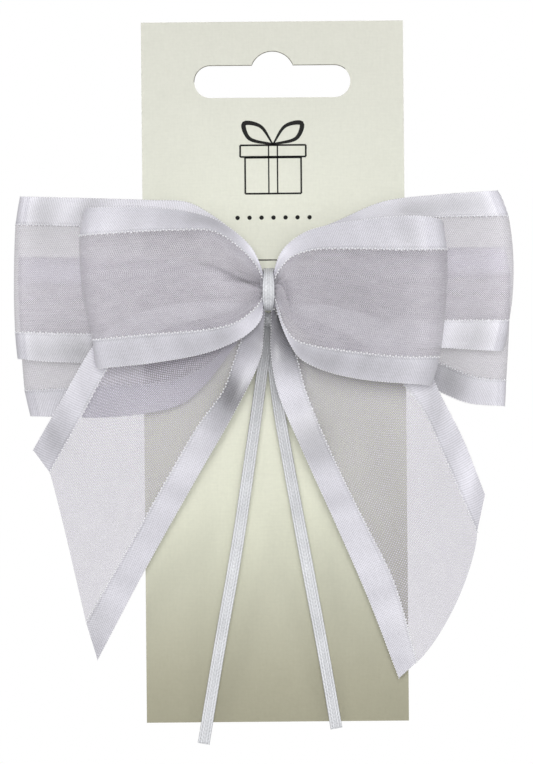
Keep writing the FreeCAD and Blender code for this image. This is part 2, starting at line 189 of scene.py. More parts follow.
class Graph:
    """The nodes of one material, with short ways to add the ones that the weaves need."""

    def __init__(self, tree):
        self.tree = tree
        tree.nodes.clear()
        self.shader = self.node("BsdfPrincipled")
        out = self.node("OutputMaterial")
        self.join(self.shader.outputs[0], out.inputs["Surface"])

    def node(self, kind, **settings):
        made = self.tree.nodes.new("ShaderNode" + kind)
        for name, value in settings.items():
            setattr(made, name, value)
        return made

    def join(self, source, socket):
        if isinstance(source, (int, float)):
            socket.default_value = source
        else:
            self.tree.links.new(source, socket)

    def step(self, operation, *values):
        """One arithmetic step on its values."""
        made = self.node("Math", operation=operation)
        for value, socket in zip(values, made.inputs):
            self.join(value, socket)
        return made.outputs[0]

    def on_map(self, name):
        """A place on one of the maps, and its two parts."""
        place = self.node("UVMap", uv_map=name).outputs[0]
        parts = self.node("SeparateXYZ")
        self.join(place, parts.inputs[0])
        return place, parts.outputs[0], parts.outputs[1]

    def weave(self):
        """A place in the weave: millimetres along the ribbon, and across it from its middle."""
        return self.on_map(WEAVE_MAP)

    def light(self):
        """How much painted shade and how much painted highlight each place has."""
        return self.on_map(PAINTED_LIGHT_MAP)[1:]

    def passing_light(self, cover):
        """cover for what is seen, and less of it for light, which thin threads scatter onwards."""
        path = self.node("LightPath")
        kept = self.weighted(1.0, (path.outputs["Is Shadow Ray"], SHADOW_SHARE - 1.0))
        return self.step("MULTIPLY", cover, kept)

    def plain_weave(self, along, across, pitch):
        """The finest crossed threads, from -1 to 1."""
        warp = self.stripes(along, across, pitch)
        weft = self.stripes(across, along, pitch * WEFT_TO_WARP)
        return self.step("MULTIPLY", warp, weft)

    def stripes(self, along, across, period, lean=0.0):
        """A wave from -1 to 1 whose crests lean by lean radians from the ribbon's cross direction."""
        a = self.step("MULTIPLY", along, math.cos(lean) * 2 * math.pi / period)
        b = self.step("MULTIPLY", across, math.sin(lean) * 2 * math.pi / period)
        return self.step("SINE", self.step("ADD", a, b))

    def noise(self, place, scale, detail=2.0, stretch=(1, 1, 1)):
        """Noise from 0 to 1 over place."""
        spread = self.node("Mapping")
        spread.inputs["Scale"].default_value = stretch
        self.join(place, spread.inputs["Vector"])
        made = self.node("TexNoise")
        made.inputs["Scale"].default_value = scale
        made.inputs["Detail"].default_value = detail
        self.join(spread.outputs[0], made.inputs["Vector"])
        return made.outputs["Fac"]

    def weighted(self, base, *terms):
        """base plus each (value, weight)."""
        total = base
        for value, weight in terms:
            total = self.step("ADD", total, self.step("MULTIPLY", value, weight))
        return total

    def tinted(self, colour, factor):
        """colour times factor."""
        scale = self.node("VectorMath", operation="SCALE")
        scale.inputs[0].default_value = colour
        self.join(factor, scale.inputs["Scale"])
        return scale.outputs[0]

    def bump(self, height, depth_mm, strength=1.0):
        relief = self.node("Bump")
        relief.inputs["Strength"].default_value = strength
        relief.inputs["Distance"].default_value = depth_mm * MM
        self.join(height, relief.inputs["Height"])
        self.join(relief.outputs[0], self.shader.inputs["Normal"])

    def surface(self, values):
        """Sets the shader's own sockets."""
        for name, value in values.items():
            self.shader.inputs[name].default_value = value


def new_material(name):
    material = bpy.data.materials.new(name)
    material.use_nodes = True
    return material, Graph(material.node_tree)


def organza(name, colour, cover, relief, pitch):
    """Sheer plain weave: fine crossed threads with a faint watered pattern. cover is the share of
    the view that its threads block, relief is how much they stand out, and pitch is their spacing."""
    material, g = new_material(name)
    place, along, across = g.weave()
    threads = g.step("MULTIPLY", *(g.stripes(along, across, *thread) for thread in WATERED_THREADS))
    weft = g.stripes(along, across, ORGANZA_WEFT)
    sparkle = g.noise(place, 1.9, 1.0)
    watered = g.noise(place, 0.55, 2.0, (0.5, 0.9, 1))
    cloudy = g.noise(place, 0.12, 1.0)
    weave = g.plain_weave(along, across, pitch)
    shade = g.weighted(0.59, (threads, 0.12), (weft, 0.03), (sparkle, 0.36), (watered, 0.22))
    shade = g.weighted(shade, (cloudy, 0.16), (weave, relief))
    # Painted shade from the map darkens the cloth in its tucks, and painted light lightens it elsewhere.
    tuck, _ = g.light()
    shade = g.step("MULTIPLY", shade, g.weighted(1.0, (tuck, ORGANZA_PAINTED_SHADE)))
    g.join(g.tinted(colour, shade), g.shader.inputs["Base Color"])
    blocked = g.weighted(cover - 0.18, (threads, 0.06), (sparkle, 0.18), (watered, 0.18), (weave, 0.28))
    g.join(g.passing_light(blocked), g.shader.inputs["Alpha"])
    g.surface({"Roughness": 0.5, "Specular IOR Level": 0.35, "Sheen Weight": 0.25})
    g.bump(g.weighted(threads, (watered, 0.6)), 0.02, 0.5)
    return material


def satin(name, colour, on_ribbon=True):
    """Glossy satin with a fine slanted twill, and soft bands of painted sheen along its length. On the
    wide ribbon it has painted shade in the tucks and beside its seams, and painted highlights."""
    material, g = new_material(name)
    place, along, across = g.weave()
    twill = g.stripes(along, across, SATIN_TWILL, SATIN_LEAN)
    weft = g.stripes(along, across, SATIN_WEFT)
    sparkle = g.noise(place, 1.9, 1.0)
    slubs = g.noise(place, 1.1, 2.0, (0.3, 2.0, 1))
    # Soft bands of painted sheen along the satin.
    painted_sheen = g.noise(place, 0.15, 1.0, (1, 0.3, 1))
    shine = g.step("MULTIPLY", twill, g.step("MULTIPLY", painted_sheen, painted_sheen))
    shade = g.weighted(0.535, (shine, 0.07), (weft, 0.01), (sparkle, 0.24), (slubs, 0.14), (painted_sheen, 0.36))
    shade = g.weighted(shade, (g.plain_weave(along, across, SATIN_WEAVE), 0.22))
    if on_ribbon:
        tuck, gleam = g.light()
        # A thin line of painted shade beside each seam, painted highlights where the map gleams, and
        # painted shade in the tucks.
        off = g.step("SUBTRACT", g.step("ABSOLUTE", across), SEAM + SEAM_LINE_OUT)
        line = g.step("EXPONENT", g.step("MULTIPLY", g.step("MULTIPLY", off, off), SEAM_LINE_SHARPNESS))
        lit = g.step("MULTIPLY", twill, gleam)
        shade = g.weighted(shade, (line, -0.12), (gleam, 0.17), (lit, 0.025))
        shade = g.step("MULTIPLY", shade, g.weighted(1.0, (tuck, SATIN_PAINTED_SHADE)))
    g.join(g.tinted(colour, shade), g.shader.inputs["Base Color"])
    g.join(g.weighted(0.26, (slubs, 0.2)), g.shader.inputs["Roughness"])
    g.surface({"Specular IOR Level": 0.6, "Sheen Weight": 0.2})
    g.bump(g.weighted(twill, (slubs, 1.5)), 0.02, 0.15)
    return material


def tie_satin(name, shaded):
    """Narrow woven satin: bright corded edges and a slanted weave between them, with soft bands of
    painted sheen. A shaded one has painted shade where it comes out from under the bow."""
    material, g = new_material(name)
    place, along, across = g.weave()
    off = g.step("ABSOLUTE", across)
    cords = g.step("COSINE", g.step("MULTIPLY", off, 2 * math.pi / CORD_PITCH))
    edge = g.step("GREATER_THAN", off, CORD_PITCH / 2)
    weave = g.stripes(along, off, TIE_WEAVE, TIE_WEAVE_LEAN)
    sparkle = g.noise(place, 2.2, 1.0)
    # Soft bands of painted sheen along the tie.
    painted_sheen = g.noise(place, 0.14, 1.0)
    edge_cords = g.step("MULTIPLY", cords, edge)
    shade = g.weighted(0.58, (edge_cords, 0.17), (weave, 0.05), (sparkle, 0.34), (painted_sheen, 0.3))
    if shaded:
        # Painted shade: darker close to the knot, where the bow shades the tie, fading further down.
        under_bow_shade = g.step("EXPONENT", g.step("MULTIPLY", along, -1 / UNDER_BOW_PAINTED_SHADE_FADE))
        shade = g.step("MULTIPLY", shade, g.weighted(1.0, (under_bow_shade, UNDER_BOW_PAINTED_SHADE)))
    g.join(g.tinted((0.735, 0.745, 0.775), shade), g.shader.inputs["Base Color"])
    g.surface({"Roughness": 0.34, "Specular IOR Level": 0.6})
    g.bump(g.weighted(weave, (sparkle, 1.0)), 0.03, 0.7)
    return material


def white_thread():
    material, g = new_material("white_thread")
    place = g.node("TexCoord").outputs["Object"]
    fleck = g.noise(place, 900.0, 1.0)
    g.join(g.tinted((0.98, 0.98, 1.0), g.weighted(0.95, (fleck, 0.1))), g.shader.inputs["Base Color"])
    g.surface({"Roughness": 0.35, "Sheen Weight": 0.3})
    return material


def pearl_card():
    """Pale pearly card with a fine brushed grain. Its colour holds painted shade, darker towards its top
    and darkest at its foot, and painted light, lightest behind the bow.
    """
    material, g = new_material("pearl_card")
    place = g.node("TexCoord").outputs["Object"]
    parts = g.node("SeparateXYZ")
    g.join(place, parts.inputs[0])
    height = g.node("MapRange")
    height.inputs["From Min"].default_value = CARD_FOOT
    height.inputs["From Max"].default_value = CARD_TOP
    g.join(parts.outputs[2], height.inputs["Value"])
    ramp = g.node("ValToRGB")
    ramp.color_ramp.interpolation = "B_SPLINE"
    while len(ramp.color_ramp.elements) < len(CARD_COLOURS_AND_PAINTED_SHADE):
        ramp.color_ramp.elements.new(0.5)
    for element, (position, colour) in zip(ramp.color_ramp.elements, CARD_COLOURS_AND_PAINTED_SHADE):
        element.position = position
        element.color = (*colour, 1)
    g.join(height.outputs[0], ramp.inputs[0])
    grain = g.noise(place, 240.0, 3.0, (1, 1, 9))
    brushed = g.noise(place, 240.0, 3.0, (9, 1, 1))
    fibres = g.noise(place, 1300.0, 2.0)
    cloudy = g.noise(place, 45.0, 2.0)
    tone = g.node("VectorMath", operation="SCALE")
    g.join(ramp.outputs[0], tone.inputs[0])
    brightness = g.weighted(0.72, (grain, 0.08), (brushed, 0.06), (fibres, 0.08), (cloudy, 0.06))
    g.join(brightness, tone.inputs["Scale"])
    g.join(tone.outputs[0], g.shader.inputs["Base Color"])
    g.join(g.weighted(0.42, (grain, 0.12)), g.shader.inputs["Roughness"])
    g.surface({"Metallic": 0.12})
    g.bump(g.weighted(grain, (fibres, 0.5)), 0.015, 0.5)
    return material


def flat_colour(name, colour):
    material, g = new_material(name)
    fleck = g.noise(g.node("TexCoord").outputs["Object"], 1200.0)
    g.join(g.tinted(colour, g.weighted(0.85, (fleck, 0.3))), g.shader.inputs["Base Color"])
    g.surface({"Roughness": 0.7, "Specular IOR Level": 0.2})
    return material


def tie_paper():
    material, g = new_material("tie_paper")
    place = g.node("TexCoord").outputs["Object"]
    fibre = g.noise(place, 700.0, 3.0, (1, 1, 0.3))
    g.join(g.tinted((0.80, 0.80, 0.78), g.weighted(0.9, (fibre, 0.2))), g.shader.inputs["Base Color"])
    g.surface({"Roughness": 0.6})
    g.bump(fibre, 0.03, 0.6)
    return material


# ------------------------ curves and meshes

STEPS_A_RUN = 24
TINY = 1e-9

def smooth_line(points, count=200):
    """A smooth curve through given points, as count points evenly spaced along its length."""
    p = np.array(points, float)
    ends = np.vstack([2 * p[0] - p[1], p, 2 * p[-1] - p[-2]])
    steps = np.linspace(0, 1, STEPS_A_RUN, endpoint=False)[:, None]
    runs = []
    for a, b, c, d in zip(ends, ends[1:], ends[2:], ends[3:]):
        spans = [max(np.linalg.norm(y - x), TINY) ** 0.5 for x, y in ((a, b), (b, c), (c, d))]
        knots = np.cumsum([0] + spans)
        t = knots[1] + steps * (knots[2] - knots[1])

        def between(x, y, i, j):
            return ((knots[j] - t) * x + (t - knots[i]) * y) / (knots[j] - knots[i])

        ab, bc, cd = between(a, b, 0, 1), between(b, c, 1, 2), between(c, d, 2, 3)
        runs.append(between(between(ab, bc, 0, 2), between(bc, cd, 1, 3), 1, 2))
    line = np.vstack(runs + [p[-1:]])
    return evenly(line, count)


def distances(line):
    """How far along the line each of its points lies."""
    return np.concatenate([[0], np.cumsum(np.linalg.norm(np.diff(line, axis=0), axis=1))])


def unit(ways):
    """Each row as a direction of length 1."""
    return ways / np.linalg.norm(ways, axis=1)[:, None]


def evenly(line, count):
    """The same line as count points, evenly spaced."""
    far = distances(line)
    wanted = np.linspace(0, far[-1], count)
    return np.column_stack([np.interp(wanted, far, line[:, k]) for k in range(line.shape[1])])


def at(line, fractions):
    """The points at these fractions of an evenly spaced line."""
    places = np.linspace(0, 1, len(line))
    return np.column_stack([np.interp(fractions, places, line[:, k]) for k in range(line.shape[1])])


def ease(x):
    """A smooth rise from 0 to 1 as x goes from 0 to 1."""
    x = np.clip(x, 0, 1)
    return x * x * (3 - 2 * x)


def new_piece(name, mesh):
    piece = bpy.data.objects.new(name, mesh)
    link(piece)
    return piece


def riding_piece(mesh, material, body=CORE):
    """A piece of one material, named after its mesh, that moves with a body."""
    mesh.materials.append(material)
    piece = new_piece(mesh.name, mesh)
    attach(piece, body)
    return piece


def grid_mesh(name, grid, maps):
    """A smooth mesh over a grid of points in millimetres, rows by columns, with its named maps."""
    rows, columns = grid.shape[:2]
    first = (np.arange(rows - 1)[:, None] * columns + np.arange(columns - 1)).ravel()
    faces = np.column_stack([first, first + 1, first + columns + 1, first + columns])
    mesh = bpy.data.meshes.new(name)
    mesh.from_pydata((grid.reshape(-1, 3) * MM).tolist(), [], faces.tolist())
    mesh.polygons.foreach_set("use_smooth", [True] * len(faces))
    for map_name, places in maps.items():
        layer = mesh.uv_layers.new(name=map_name)
        layer.data.foreach_set("uv", places.reshape(-1, 2)[faces.ravel()].ravel())
    return mesh


def closed_tube(name, rings, across=None):
    """A mesh round closed rings of points in millimetres, with its two ends capped. across gives
    each ring point's place in the weave."""
    count, around = rings.shape[:2]
    points = rings.reshape(-1, 3)
    starts = range(0, (count - 1) * around, around)
    sides = [(row + j, row + (j + 1) % around) for row in starts for j in range(around)]
    faces = [(a, b, b + around, a + around) for a, b in sides]
    faces.append(tuple(range(around))[::-1])
    faces.append(tuple((count - 1) * around + j for j in range(around)))
    mesh = bpy.data.meshes.new(name)
    mesh.from_pydata((points * MM).tolist(), [], faces)
    mesh.polygons.foreach_set("use_smooth", [True] * (len(faces) - 2) + [False] * 2)
    along = distances(rings.mean(axis=1))
    if across is None:
        across = np.cumsum(np.linalg.norm(rings - np.roll(rings, 1, axis=1), axis=2).mean(axis=0))
    layer = mesh.uv_layers.new(name=WEAVE_MAP)
    for loop in mesh.loops:
        i, j = divmod(loop.vertex_index, around)
        layer.data[loop.index].uv = (along[i], across[j])
    return mesh


# ------------------------ the wide ribbon

COLUMNS = np.concatenate([
    np.linspace(-HALF_WIDTH, -SEAM, 11)[:-1],
    np.linspace(-SEAM, SEAM, 45)[:-1],
    np.linspace(SEAM, HALF_WIDTH, 11),
])
TURN_ROWS = 12
ROW_STEP = 0.75

# The bands of light by a loop's end: the first one's distance from the end, how much further in it
# lies at the top edge, their pitch, and how far in they fade.
GLEAM_OUT = 9.5
GLEAM_SLANT = 0.8
GLEAM_PITCH = 11.0
GLEAM_FADE = 12.0
GLEAM_STRENGTH = 0.15
SPOT_SHADE = 0.3

# Where along the ribbon its columns start to swell past the rails' ends, over how much of it they
# do, and how full the swollen end is.
SWELL_START, SWELL_RUN, SWELL_FULLNESS = 0.45, 0.55, 0.8

# A fold's and a crease's rise out of the pinch, a crease's sharpness, all in millimetres, and how
# much painted shade it has above its line and in it.
FOLD_RISE, CREASE_RISE, CREASE_WIDTH = 2.5, 1.5, 0.7
PAINTED_SHADE_ABOVE, PAINTED_SHADE_IN_LINE = 0.28, 0.55

# The pleats at the pinch: how many, how far from it they fade, and how much painted shade their
# crests and valleys get.
PLEATS, PLEAT_FADE = 9, 6.0
CREST_PAINTED_SHADE, VALLEY_PAINTED_SHADE = 0.25, 0.75


def across_rails(rails, fractions, swell, way):
    """Front-view points of the ribbon. rails are its low edge, low seam, top seam and top edge, and
    each column reaches past the rails' ends by its swell along way."""
    lines = [at(smooth_line(r), fractions) for r in rails]
    stations = (-HALF_WIDTH, -SEAM, SEAM, HALF_WIDTH)
    flat = np.empty((len(fractions), len(COLUMNS), 2))
    for k in range(2):
        columns = np.stack([line[:, k] for line in lines], axis=1)
        for i, row in enumerate(columns):
            flat[i, :, k] = np.interp(COLUMNS, stations, row)
    reach = ease((np.asarray(fractions) - SWELL_START) / SWELL_RUN)
    return flat + reach[:, None, None] * swell[None, :, None] * np.array(way, float)


def bulging(height, half_width, skew=0.0):
    """A rounded end's swell at each column, within half_width of the middle."""
    share = np.clip(COLUMNS / half_width, -1, 1)
    return height * (1 - share ** 2) ** SWELL_FULLNESS * (1 + skew * share)


def pleats(length, count, depth, phase=0.0):
    """Small folds side by side across the ribbon, deepest at the pinch."""
    side_by_side = np.cos(np.pi * count * COLUMNS / (2 * HALF_WIDTH) + phase)
    return depth * np.exp(-length / PLEAT_FADE) * side_by_side


def folds(length, table):
    """Long soft folds. Each is the place across the ribbon where it starts and ends, its width, its
    height towards the front, and how far from the pinch it reaches."""
    total = 0
    for start, end, width, height, reach in table:
        centre = start + (end - start) * np.clip(length / reach, 0, 1)
        rise = ease(length / FOLD_RISE) * np.exp(-((length / reach) ** 2))
        total = total + height * rise * np.exp(-(((COLUMNS - centre) / width) ** 2))
    return -total


def creases(length, table):
    """Sharp tucks, as a depth and a painted shade: the cloth below each line stands forward of the cloth
    above it, and painted shade darkens the line and the cloth just above it. Each is the place across
    the ribbon where it starts and ends, its width, its height, its reach, and how it bends: above 1 it
    turns late."""
    depth, painted_shade = 0, 0
    for start, end, width, height, reach, turn in table:
        centre = start + (end - start) * np.clip(length / reach, 0, 1) ** turn
        off = (COLUMNS - centre) / CREASE_WIDTH
        step = -off / np.sqrt(1 + off * off) * np.exp(-np.abs(off) * CREASE_WIDTH / width)
        rise = ease(length / CREASE_RISE) * (1 - ease((length / reach - 0.6) / 0.6))
        depth = depth - height * rise * step
        above = np.where(off > 0, PAINTED_SHADE_ABOVE * np.exp(-off * CREASE_WIDTH / width), 0)
        painted_shade = painted_shade + rise * (above + PAINTED_SHADE_IN_LINE * np.exp(-(off ** 2)))
    return depth, painted_shade


def pinch_shade(length, fade):
    """Painted shade close to the pinch, darkest in the valleys between the pleats."""
    valley = 0.5 - 0.5 * np.cos(np.pi * PLEATS * COLUMNS / (2 * HALF_WIDTH))
    return np.exp(-length / fade) * (CREST_PAINTED_SHADE + VALLEY_PAINTED_SHADE * valley ** 2)


def soft_light(length, table):
    """Soft spots of light, and of shade, on the cloth. Each is its distance from the pinch, its place
    across, how light it is, and how long and how wide it is."""
    total = np.zeros((len(length), len(COLUMNS)))
    for place, across, light, long, wide in table:
        total += light * np.exp(-(((length - place) / long) ** 2) - ((COLUMNS - across) / wide) ** 2)
    return total


def end_gleams(from_end):
    """Bands of light and shade by a loop's rounded end, fainter further in. The low edge's bands lie
    a little further out than the top edge's."""
    across = COLUMNS[None] / HALF_WIDTH
    place = from_end[:, None] - GLEAM_OUT - GLEAM_SLANT * across
    painted_sheen = GLEAM_STRENGTH * np.cos(2 * math.pi * place / GLEAM_PITCH)
    return painted_sheen * np.exp(-from_end[:, None] / GLEAM_FADE)


def weave_map(grid):
    """Each point's distance along the ribbon and across it, in millimetres."""
    steps = np.linalg.norm(np.diff(grid, axis=0), axis=2)
    along = np.vstack([np.zeros(grid.shape[1]), np.cumsum(steps, axis=0)])
    return np.stack([along, np.broadcast_to(COLUMNS, along.shape)], axis=2)


def bead_line(line, normals, phase, weave):
    """A row of small stitches along a line, weaving from side to side: centres, and half-axes."""
    pitch, long, wide, high = 0.72, 0.31, 0.24, 0.17
    sway, lean = 0.10 * weave, 0.55 * weave
    count = max(int(distances(line)[-1] / pitch), 2)
    centres, ups = evenly(line, count), evenly_by(line, normals, count)
    ways = unit(np.gradient(centres, axis=0))
    sides = unit(np.cross(ways, ups))
    zig = np.where((np.arange(count) + phase) % 2, 1.0, -1.0)[:, None]
    centres = centres + sides * zig * sway
    slant = (ways + sides * zig * lean) / math.hypot(1, lean)
    return centres, slant * long, np.cross(slant, ups) * wide, ups * high


def evenly_by(line, values, count):
    """Directions given at a line's points, for count even steps along it."""
    far = distances(line)
    wanted = np.linspace(0, far[-1], count)
    return unit(np.column_stack([np.interp(wanted, far, values[:, k]) for k in range(3)]))


SELVEDGE_BEAD = 0.6
BEAD_CORNERS = np.array([(1, 0, 0), (-1, 0, 0), (0, 1, 0), (0, -1, 0), (0, 0, 1), (0, 0, -1)], float)
BEAD_FACES = np.array(
    [(0, 2, 4), (2, 1, 4), (1, 3, 4), (3, 0, 4), (2, 0, 5), (1, 2, 5), (3, 1, 5), (0, 3, 5)]
)


def bead_mesh(name, grid, normals):
    """The woven white stitches along both seams and both selvedges of a ribbon."""
    points, faces, count = [], [], 0
    for number, offset in enumerate((-HALF_WIDTH, -SEAM, SEAM, HALF_WIDTH)):
        column = int(np.argmin(abs(COLUMNS - offset)))
        weave, small = (0.0, SELVEDGE_BEAD) if abs(offset) == HALF_WIDTH else (1.0, 1.0)
        centres, *axes = bead_line(grid[:, column], normals[:, column], number, weave)
        corners = sum(BEAD_CORNERS[None, :, k, None] * axes[k][:, None, :] * small for k in range(3))
        corners = corners + centres[:, None, :]
        points.append(corners.reshape(-1, 3))
        base = count + np.arange(len(centres))[:, None, None] * len(BEAD_CORNERS)
        faces.append((base + BEAD_FACES[None]).reshape(-1, 3))
        count += len(centres) * len(BEAD_CORNERS)
    mesh = bpy.data.meshes.new(name)
    mesh.from_pydata((np.vstack(points) * MM).tolist(), [], np.vstack(faces).tolist())
    mesh.polygons.foreach_set("use_smooth", [True] * len(mesh.polygons))
    mesh.materials.append(THREAD)
    return mesh


def surface_normals(grid):
    """The way each point of a grid faces."""
    along, across = np.gradient(grid, axis=0), np.gradient(grid, axis=1)
    normal = np.cross(along, across)
    return normal / np.maximum(np.linalg.norm(normal, axis=2), TINY)[:, :, None]


def ribbon_piece(node, sheer, grid, light):
    """The ribbon of one CAD node, with its stitched lines and its map of painted shade and painted
    highlights."""
    mesh = grid_mesh(node + "_ribbon", grid, {WEAVE_MAP: weave_map(grid), PAINTED_LIGHT_MAP: light})
    mesh.materials.append(sheer)
    mesh.materials.append(SATIN)
    middle = (COLUMNS[:-1] + COLUMNS[1:]) / 2
    is_satin = (abs(middle) > SEAM).astype(int)
    mesh.polygons.foreach_set("material_index", np.tile(is_satin, grid.shape[0] - 1))
    ribbon = new_piece(node + "_ribbon", mesh)
    stitches = bead_mesh(node + "_stitches", grid, surface_normals(grid))
    beads = new_piece(node + "_stitches", stitches)
    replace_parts(ribbon, node)
    for piece in (ribbon, beads):
        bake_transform(piece)


# Each layer's depth in front of the card by the knot and at its end, the radius of its turn, and
# whether its loops are full.
FRONT = {"depths": (17, 20.4), "bend": 5.6, "puff": 1}
UPPER = {"depths": (11.4, 9.7), "bend": 2.8, "puff": 0}
LOWER = {"depths": (8.5, 3.8), "bend": 2.5, "puff": 0}

# Each loop's rails, from the knot to its outer end: low edge, low seam, top seam and top edge.
LOOPS = {
    "front_loop_left": dict(rails=[
        [(-2.2, -63), (-2.7, -66.8), (-5.8, -70.5), (-14.5, -74.8), (-27.8, -77.6), (-43.2, -79.3)],
        [(-2.2, -61.3), (-3.4, -63.4), (-8.6, -67.7), (-14.5, -69.4), (-30, -70.9), (-42.8, -72.2)],
        [(-2.2, -57.3), (-3.9, -53.8), (-7.8, -49.5), (-14.5, -45.3), (-23.4, -45), (-46.1, -46.4)],
        [(-2.2, -56), (-3, -53.4), (-5.5, -48.8), (-12.2, -43.3), (-18.9, -40.8), (-32.3, -39.3),
         (-46.1, -39.5)],
    ], bulge=2.6, **FRONT,
        folds=[(9, 9, 4, 0.9, 26), (-6, -9, 3.6, 0.8, 30), (-2, -4, 3, -0.6, 34), (5, 5, 3, -1.2, 16)],
        creases=[(2.6, 1, 5, 1.9, 14, 0.8), (-1, 4.5, 3, 0.7, 22, 0.8)],
        spots=[(7, -17, 0.6, 5, 5), (17, -17, -0.8, 5.5, 4), (27, -17, -0.4, 6, 4),
               (6, 17, 1.2, 6, 5), (19, 18, -0.9, 7, 4), (30, 17, -0.2, 8, 4),
               (42, -17, -0.9, 5, 5), (14, 3, 1, 9, 8), (46, 0, 0.6, 4, 60)],
    ),
    "front_loop_right": dict(rails=[
        [(0.4, -61.6), (1.3, -65.2), (2.8, -69.8), (4.8, -73.9), (7, -76.8), (12.2, -79.5),
         (21.4, -81.8), (39.4, -83.4)],
        [(0.4, -60.9), (1.6, -64.4), (3.1, -68.8), (5.4, -71.9), (10, -73.6), (18.8, -75),
         (31.8, -76.4), (40.5, -76.4)],
        [(0.4, -57.4), (1.9, -54.6), (4.8, -51.6), (10, -49.9), (18.8, -49.6), (31.8, -49.9),
         (42.3, -49.8)],
        [(0.4, -56.4), (0.8, -53.8), (2.7, -49.7), (7.9, -45.6), (14.4, -43.7), (27.5, -41.9),
         (36.2, -41.5), (42.1, -42.4)],
    ], bulge=1.6, **FRONT,
        folds=[(-9, -13, 3, 1, 15), (7, 8, 4, 0.9, 24), (0, 0, 4.5, 0.5, 34)],
        creases=[(4.2, -7.7, 3.6, 2, 10.5, 2.2), (6, 5.6, 3, 0.8, 5, 1)],
        spots=[(26, 1, -0.8, 12, 10), (19, -17, -1, 8, 4), (31, -17, -0.5, 6, 4),
               (9, -17, 1.6, 4, 5), (7, 17, 0.7, 6, 4), (38, 17, -0.6, 5, 4), (41, -17, -0.8, 6, 5),
               (5, 6, 1.2, 5, 9), (44, 0, 0.5, 4, 60)],
    ),
    "upper_back_loop_left": dict(rails=[
        [(-2.4, -62.2), (-8, -68), (-18, -74.5), (-35, -77.4), (-54.6, -77.6), (-63.3, -76.8)],
        [(-2.4, -60.9), (-9, -65), (-20, -69), (-40, -70.6), (-63.4, -70.2)],
        [(-2.4, -58), (-8, -52), (-16, -46.5), (-25, -44.5), (-45, -43.9), (-63.3, -43.5)],
        [(-2.4, -56.8), (-6, -50), (-10.5, -44.5), (-14.9, -41.1), (-21.1, -37.9), (-30.1, -37.4),
         (-62.7, -36.5)],
    ], bulge=0.9, **UPPER,
        folds=[(0, 2, 4, -0.6, 26), (6, 12, 3, 0.4, 40)], creases=[],
        spots=[(57, 9, -0.9, 7, 6), (48, 17, -1, 4, 5), (48, -17, -1.1, 4, 5),
               (56, -18, -1.3, 11, 5), (60, 17, -0.9, 4, 5), (64, 0, 0.9, 3, 60)],
    ),
    "upper_back_loop_right": dict(rails=[
        [(0.6, -62), (6, -68), (16, -72.8), (32, -74), (42, -74.1), (57.4, -75)],
        [(0.6, -60.8), (7, -64.5), (18, -66.8), (35, -67.2), (57, -67.2)],
        [(0.6, -57.6), (5, -52.5), (12, -47.5), (22, -43.6), (33, -42), (44, -41.5), (56.8, -41.3)],
        [(0.6, -56.5), (4, -50), (9.5, -45.5), (16.6, -42.4), (27.5, -37.8), (40.5, -36.1),
         (56.2, -35)],
    ], bulge=3.2, **UPPER,
        folds=[(0, -3, 4, -0.6, 26), (8, 11, 3, 0.4, 44)], creases=[],
        spots=[(42, 16, -1.4, 9, 4), (54, 17, -0.8, 4, 5), (55, -18, -1.2, 7, 5), (59, 0, 1.2, 4, 60)],
    ),
    "lower_back_loop_left": dict(rails=[
        [(-2.4, -62.5), (-9, -73), (-16.5, -83), (-22.5, -88), (-30.5, -90.2), (-41.8, -91.4),
         (-60.3, -91.1)],
        [(-2.4, -61.5), (-8, -68.5), (-14.5, -77), (-24, -82), (-41, -83.6), (-61.4, -84.7)],
        [(-2.4, -59.3), (-12, -59), (-25, -58.6), (-45, -58.3), (-63, -58.1)],
        [(-2.4, -58.5), (-12, -54.5), (-25, -52.3), (-45, -51.7), (-63.2, -51.4)],
    ], bulge=0.6, **LOWER,
        folds=[(0, 3, 4, -0.5, 26), (-8, -12, 3, 0.4, 36)], creases=[],
        spots=[(53, -6, -0.7, 7, 12), (52, 17, 1.6, 16, 5)],
    ),
    "lower_back_loop_right": dict(rails=[
        [(0.6, -62.5), (8, -70), (18, -76.5), (30, -80.5), (39.7, -84.1), (48.5, -87.7), (58.1, -88.6)],
        [(0.6, -61.3), (9, -66), (20, -71), (31, -74.2), (40.1, -77.3), (50.3, -81.3), (58.1, -82.1)],
        [(0.6, -59.3), (12, -58), (26, -56.6), (44, -56), (59.2, -55.8)],
        [(0.6, -58.5), (12, -53), (26, -50), (44, -49.2), (58.3, -49)],
    ], bulge=0.5, **LOWER,
        folds=[(0, 3, 4, -0.5, 26), (-12, -15, 5, 0.8, 60)], creases=[],
        spots=[(46.5, -14, -1.8, 5, 12), (54, 17, 1.9, 14, 5), (60, 0, 0.9, 3, 60)],
    ),
}


# Half a back layer's depth by the knot, how full a loop swells, and how its cloth curls towards its
# edges: at a full loop's end, by the knot, how far out that lasts, and how late across it starts.
ROOT_HALF, PLUMPNESS = 0.9, 0.9
END_CURL, KNOT_CURL, CURL_REACH, CURL_POWER = 0.30, 0.85, 0.75, 2.6

# The soft wave over a full loop's front: its height, and its pitches along and across.
WAVE_HEIGHT, WAVE_ALONG, WAVE_ACROSS = 0.35, 7.5, 11

# How deep the pleats of its two layers are, how much painted shade the front ones get by the knot and how
# soon that fades.
LOOP_PLEAT_DEPTH, BACK_PLEAT_DEPTH, BACK_PLEAT_PHASE = 0.8, 0.6, 1.1
LOOP_PAINTED_SHADE, LOOP_PAINTED_SHADE_FADE = 0.45, 5.0


